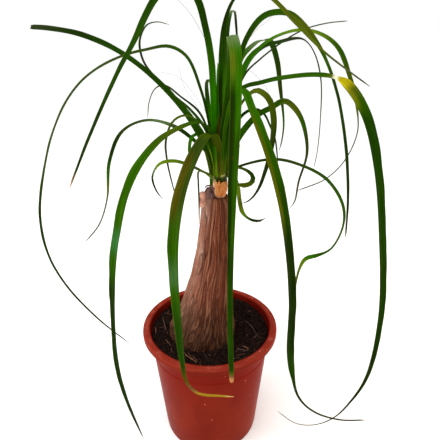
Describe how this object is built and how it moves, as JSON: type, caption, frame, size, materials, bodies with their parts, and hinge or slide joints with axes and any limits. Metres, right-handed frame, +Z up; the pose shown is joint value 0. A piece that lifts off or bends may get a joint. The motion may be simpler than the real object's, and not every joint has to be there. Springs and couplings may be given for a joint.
{
  "type": "potted ponytail palm",
  "caption": "Ponytail palm with a swollen woody trunk and a fountain of long arching strap leaves, standing in soil in a round flared plastic nursery pot with a rolled rim.",
  "frame": {"origin": "centre of the pot's flat underside, on the surface that the pot stands on", "axes": "+Z up the pot's axis, -Y towards the front that the picture shows, +X to the right of it"},
  "size_m": [0.2988, 0.206, 0.4192],
  "materials": {
    "terracotta_plastic": "satin",
    "peat": "matte",
    "bark": "matte",
    "sheath_green": "satin",
    "leaf_green": "satin"
  },
  "bodies": {
    "root": {"pot": "terracotta_plastic", "soil": "peat", "trunk": "bark", "crown": "sheath_green", "leaf_front": "leaf_green", "leaf_front_broad": "leaf_green", "leaf_front_left": "leaf_green", "leaf_front_right": "leaf_green", "leaf_right_bow": "leaf_green", "leaf_curl": "leaf_green", "leaf_low_hook": "leaf_green", "leaf_far_right": "leaf_green", "leaf_right_tall": "leaf_green", "leaf_low_right": "leaf_green", "leaf_right_crook": "leaf_green", "leaf_right_thread": "leaf_green", "leaf_right_arch": "leaf_green", "leaf_right_hoop": "leaf_green", "leaf_inner_arch": "leaf_green", "leaf_right_wisp": "leaf_green", "leaf_cane": "leaf_green", "leaf_upright": "leaf_green", "leaf_spear": "leaf_green", "leaf_back_high": "leaf_green", "leaf_back_long": "leaf_green", "leaf_back_middle": "leaf_green", "leaf_back_short": "leaf_green", "leaf_folded": "leaf_green", "leaf_left_hook": "leaf_green", "leaf_left_wisp": "leaf_green", "leaf_far_left": "leaf_green", "leaf_left_hoop": "leaf_green", "leaf_left_crook": "leaf_green", "leaf_left_tall": "leaf_green", "leaf_left_loop": "leaf_green", "leaf_low_left": "leaf_green", "leaf_short_left": "leaf_green", "leaf_low_thread": "leaf_green"}
  },
  "joints": []
}
